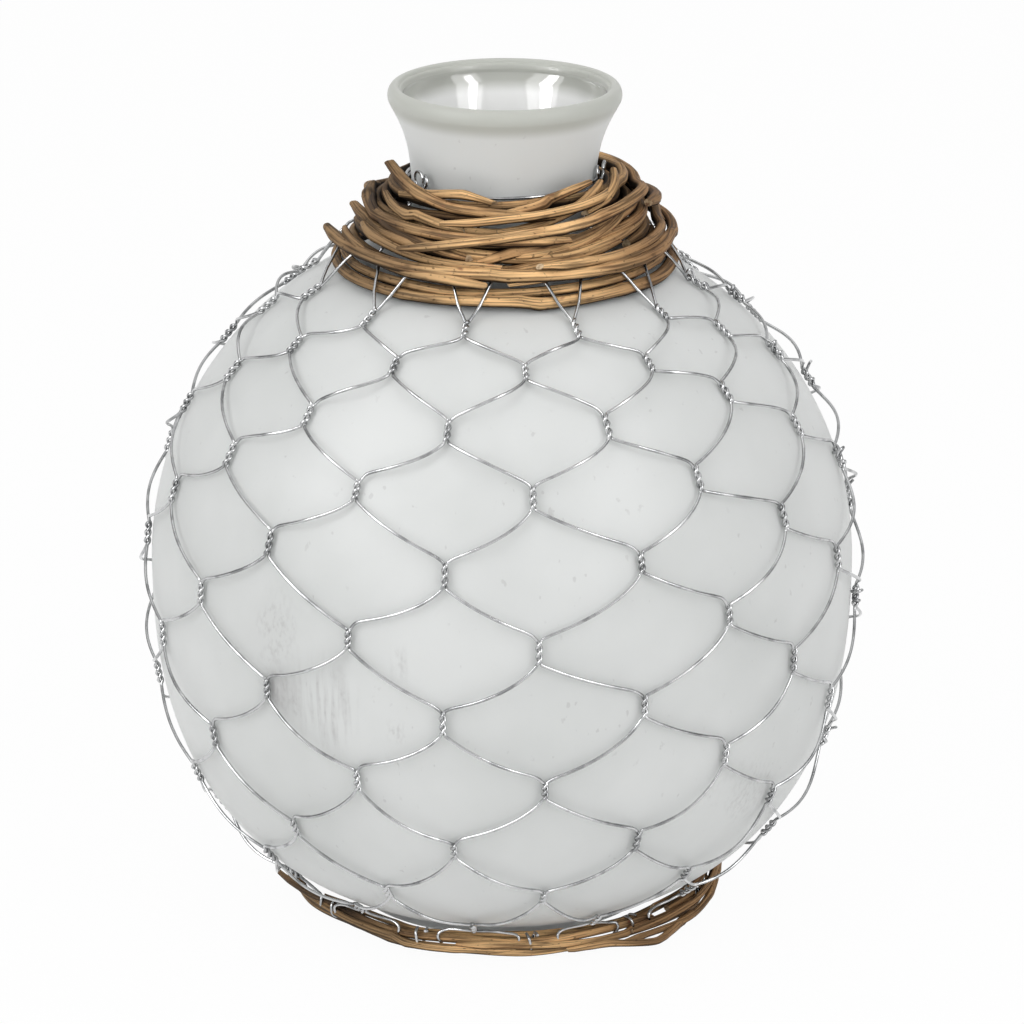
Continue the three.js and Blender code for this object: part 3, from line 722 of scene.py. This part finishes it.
# Tie wires: small loops of wire that hook the netting's lower edge to the upper rods of the foot ring. The
# ends of each are crossed on top and cut off short.
TIE_AZIMUTHS = [-52, -22, 8, 38, 68, 248]
TIE_REACH = 0.0021
TIE_SQUARENESS = 0.7
TIE_SLIP = 1.4
for number, azimuth in enumerate(TIE_AZIMUTHS, 1):
    top = np.array(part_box(f"foot_tie_{number}")[1])[2] - WIRE / 2
    corners = corners_of(f"foot_tie_{number}")
    outer = np.hypot(corners[:, 0], corners[:, 1]).max() - WIRE / 2
    turn = np.radians(np.linspace(100, -290, 60))
    across = np.sign(np.cos(turn)) * np.abs(np.cos(turn)) ** TIE_SQUARENESS
    rise = np.sign(np.sin(turn)) * np.abs(np.sin(turn)) ** TIE_SQUARENESS
    slip = np.linspace(-TIE_SLIP, TIE_SLIP, 60)
    path = place(azimuth + slip, outer - TIE_REACH * (1 - across), top - TIE_REACH * (1 - rise))
    mesh = skin(f"tie_wire_{number}", bar(path, WIRE / 2, 8))
    add(f"tie_wire_{number}", mesh, [zinc], [f"foot_tie_{number}"])


# Stake wires: short upright lengths of the same galvanised wire behind the collar's rods. The rods press
# them to the glass, and they show as bright dashes in the gaps.
STAKE_AZIMUTHS = [-60, -36, -12, 24, 48]
STAKE_LANES = np.array([2.2, 3.6, 5.2, 6.7])
STAKE_OFF = np.full(len(STAKE_LANES), -0.00075)
for number, azimuth in enumerate(STAKE_AZIMUTHS, 1):
    path = through(on_cone(azimuth, STAKE_LANES, STAKE_OFF), 8)
    mesh = skin(f"stake_wire_{number}", bar(path, WIRE / 2, 8))
    add(f"stake_wire_{number}", mesh, [zinc], [f"collar_stake_wire_{number}"])


# Binding wire: one length of galvanised wire wound two turns round the neck, just above the willow. It
# climbs a little from turn to turn and keeps the collar from riding up.
BINDING_TURNS = 2
BINDING_PITCH = 0.0015
BINDING_START = 200
NECK_GAP = 0.00105


def off_neck(height):
    """Radius at which the middle of a wire lies round the neck: the glass there and a small gap."""
    return np.interp(height, neck_line[:, 1], neck_line[:, 0]) + NECK_GAP


turns = np.linspace(0, 1, 260)
binding_height = CONE_TOP[1] + 0.8 * COLLAR_ROD - (1 - turns) * BINDING_TURNS * BINDING_PITCH
path = place(BINDING_START + BINDING_TURNS * 360 * turns, off_neck(binding_height), binding_height)
mesh = skin("binding_wire", bar(path, WIRE / 2, 8))
add("binding_wire", mesh, [zinc], ["neck_binding_wire"])


# Cut ends of wire: where the netting is closed on the right, a cut end winds round each joint and stands out
# a little, and the wire round the neck ends in two small curls beside it.
SEAM = 4
SEAM_RADIUS = 0.09
CURLS = [(-52, -1), (76, 1)]
CURL_HEIGHT = 0.2125
CURL_RADIUS = 0.03
for row in range(2, NET_ROWS):
    azimuth, up, length = joint(row, SEAM + row % 2)
    sweep = np.linspace(0, chance.uniform(7, 11), 40)
    share = sweep / sweep[-1]
    loose = np.clip(share - chance.uniform(0.55, 0.75), 0, 1)
    wound = 0.0009 + loose * chance.uniform(0.001, 0.004)
    path = on_net(
        azimuth + np.degrees(wound * np.cos(sweep) / SEAM_RADIUS),
        up + length * (share - 0.5) * chance.uniform(0.7, 1.1) + 0.5 * wound * np.sin(sweep),
        STAND_OFF + 0.0003 + wound * np.sin(sweep) + loose * 0.0024,
    )
    mesh = skin(f"seam_tail_{row - 1}", bar(path, WIRE / 2, 8))
    add(f"seam_tail_{row - 1}", mesh, [zinc])
for number, (azimuth, lean) in enumerate(CURLS, 1):
    sweep = np.linspace(0, 9, 60)
    curl = 0.0018 * np.clip(sweep / 2, 0, 1) + 0.0001 * sweep
    path = place(
        azimuth + lean * np.degrees(curl * np.cos(sweep) / CURL_RADIUS),
        off_neck(CURL_HEIGHT) + 0.0003 * sweep,
        CURL_HEIGHT + curl * (1 + np.sin(sweep)),
    )
    mesh = skin(f"neck_curl_{number}", bar(path, WIRE / 2, 8))
    add(f"neck_curl_{number}", mesh, [zinc])


# Studio: a plain pale floor, two softboxes in front, one above, two narrow bright ones that draw the lines of
# light on the wires, and a grey world. The camera stands where the photograph was taken from, a little above
# the vase.
FLOOR_REACH = 12
FLOOR_DROP = 0.0001
WORLD_LIGHT = 0.72
SIDE_SHADE = 0.5
AIM = (0, 0, 0.11267)
DISTANCE = 1.4941
ELEVATION = 18.371
PHOTO_PIXELS = 1024
FOCAL_PIXELS = 5232.9
AXIS_PIXEL = 502


def pale_floor():
    """White to the eye and in reflections, and a pale matt floor to the light, so it keeps the shadow."""
    material, shade, surface = begin("pale_floor")
    shade.feed(surface, {"Base Color": (0.86, 0.86, 0.86, 1), "Roughness": 0.9})
    seen = shade.node("ShaderNodeLightPath", {}, {}, output="Is Camera Ray")
    seen = seen + shade.node("ShaderNodeLightPath", {}, {}, output="Is Glossy Ray")
    seen = seen + shade.node("ShaderNodeLightPath", {}, {}, output="Is Transmission Ray")
    white = shade.node("ShaderNodeEmission", {}, {"Color": (1, 1, 1, 1), "Strength": 1.0})
    lit = Shade(shade.tree, surface.outputs[0])
    shown = shade.node("ShaderNodeMixShader", {}, {0: seen * 0.96, 1: lit, 2: white})
    shade.feed(material.node_tree.nodes["Material Output"], {"Surface": shown})
    return material


floor_mesh = bpy.data.meshes.new("floor")
floor_sides = np.array([(-1, -1, 0), (1, -1, 0), (1, 1, 0), (-1, 1, 0)])
floor_corners = FLOOR_REACH * floor_sides - (0, 0, FLOOR_DROP)
floor_mesh.from_pydata(floor_corners.tolist(), [], [(0, 1, 2, 3)])
floor_mesh.materials.append(pale_floor())
floor = bpy.data.objects.new("floor", floor_mesh)
bpy.context.scene.collection.objects.link(floor)


def softbox(name, azimuth, elevation, distance, width, height, power, lights_matt=True):
    """A soft lamp that faces the vase, at an azimuth and elevation round it. It may show in gloss alone."""
    lamp = bpy.data.lights.new(name, "AREA")
    lamp.shape = "RECTANGLE"
    lamp.size = width
    lamp.size_y = height
    lamp.energy = power
    made = bpy.data.objects.new(name, lamp)
    rise = np.radians(elevation)
    made.location = place(azimuth, distance * np.cos(rise), AIM[2] + distance * np.sin(rise))
    made.rotation_euler = (np.pi / 2 - rise, 0, np.radians(azimuth))
    made.visible_diffuse = lights_matt
    bpy.context.scene.collection.objects.link(made)


softbox("key_softbox", -53, 28, 1.3, 0.85, 1.0, 5.0)
softbox("fill_softbox", 49, 24, 1.3, 0.7, 1.0, 3.9)
softbox("top_softbox", 0, 88, 1.4, 1.0, 1.0, 2.0)
softbox("left_strip", -58, 30, 1.3, 0.3, 0.9, 6.0, lights_matt=False)
softbox("right_strip", 44, 34, 1.3, 0.2, 0.7, 3.0, lights_matt=False)


def studio_world():
    """Light from all round, less from the two far sides, which give the wires their dark edges."""
    world = bpy.data.worlds.new("studio")
    world.use_nodes = True
    shade = Shade(world.node_tree)
    way = shade.node("ShaderNodeTexCoord", {}, {}, output="Generated")
    across = shade.node("ShaderNodeSeparateXYZ", {}, {0: way}, output="X")
    up = shade.node("ShaderNodeSeparateXYZ", {}, {0: way}, output="Z")
    side = (across * across).rise(0.35, 0.75) * up.rise(0.65, 0.3)
    strength = WORLD_LIGHT - side * SIDE_SHADE
    shade.feed(world.node_tree.nodes["Background"], {"Color": (1, 1, 1, 1), "Strength": strength})
    return world


bpy.context.scene.world = studio_world()

camera = bpy.data.cameras.new("photo_camera")
camera.lens = camera.sensor_width * FOCAL_PIXELS / PHOTO_PIXELS
camera.shift_x = (PHOTO_PIXELS / 2 - AXIS_PIXEL) / PHOTO_PIXELS
camera.clip_end = 100
stand = bpy.data.objects.new("photo_camera", camera)
lean = np.radians(ELEVATION)
stand.location = place(0, DISTANCE * np.cos(lean), AIM[2] + DISTANCE * np.sin(lean))
stand.rotation_euler = (np.pi / 2 - lean, 0, 0)
bpy.context.scene.collection.objects.link(stand)
bpy.context.scene.camera = stand
bpy.context.scene.view_settings.view_transform = "Standard"
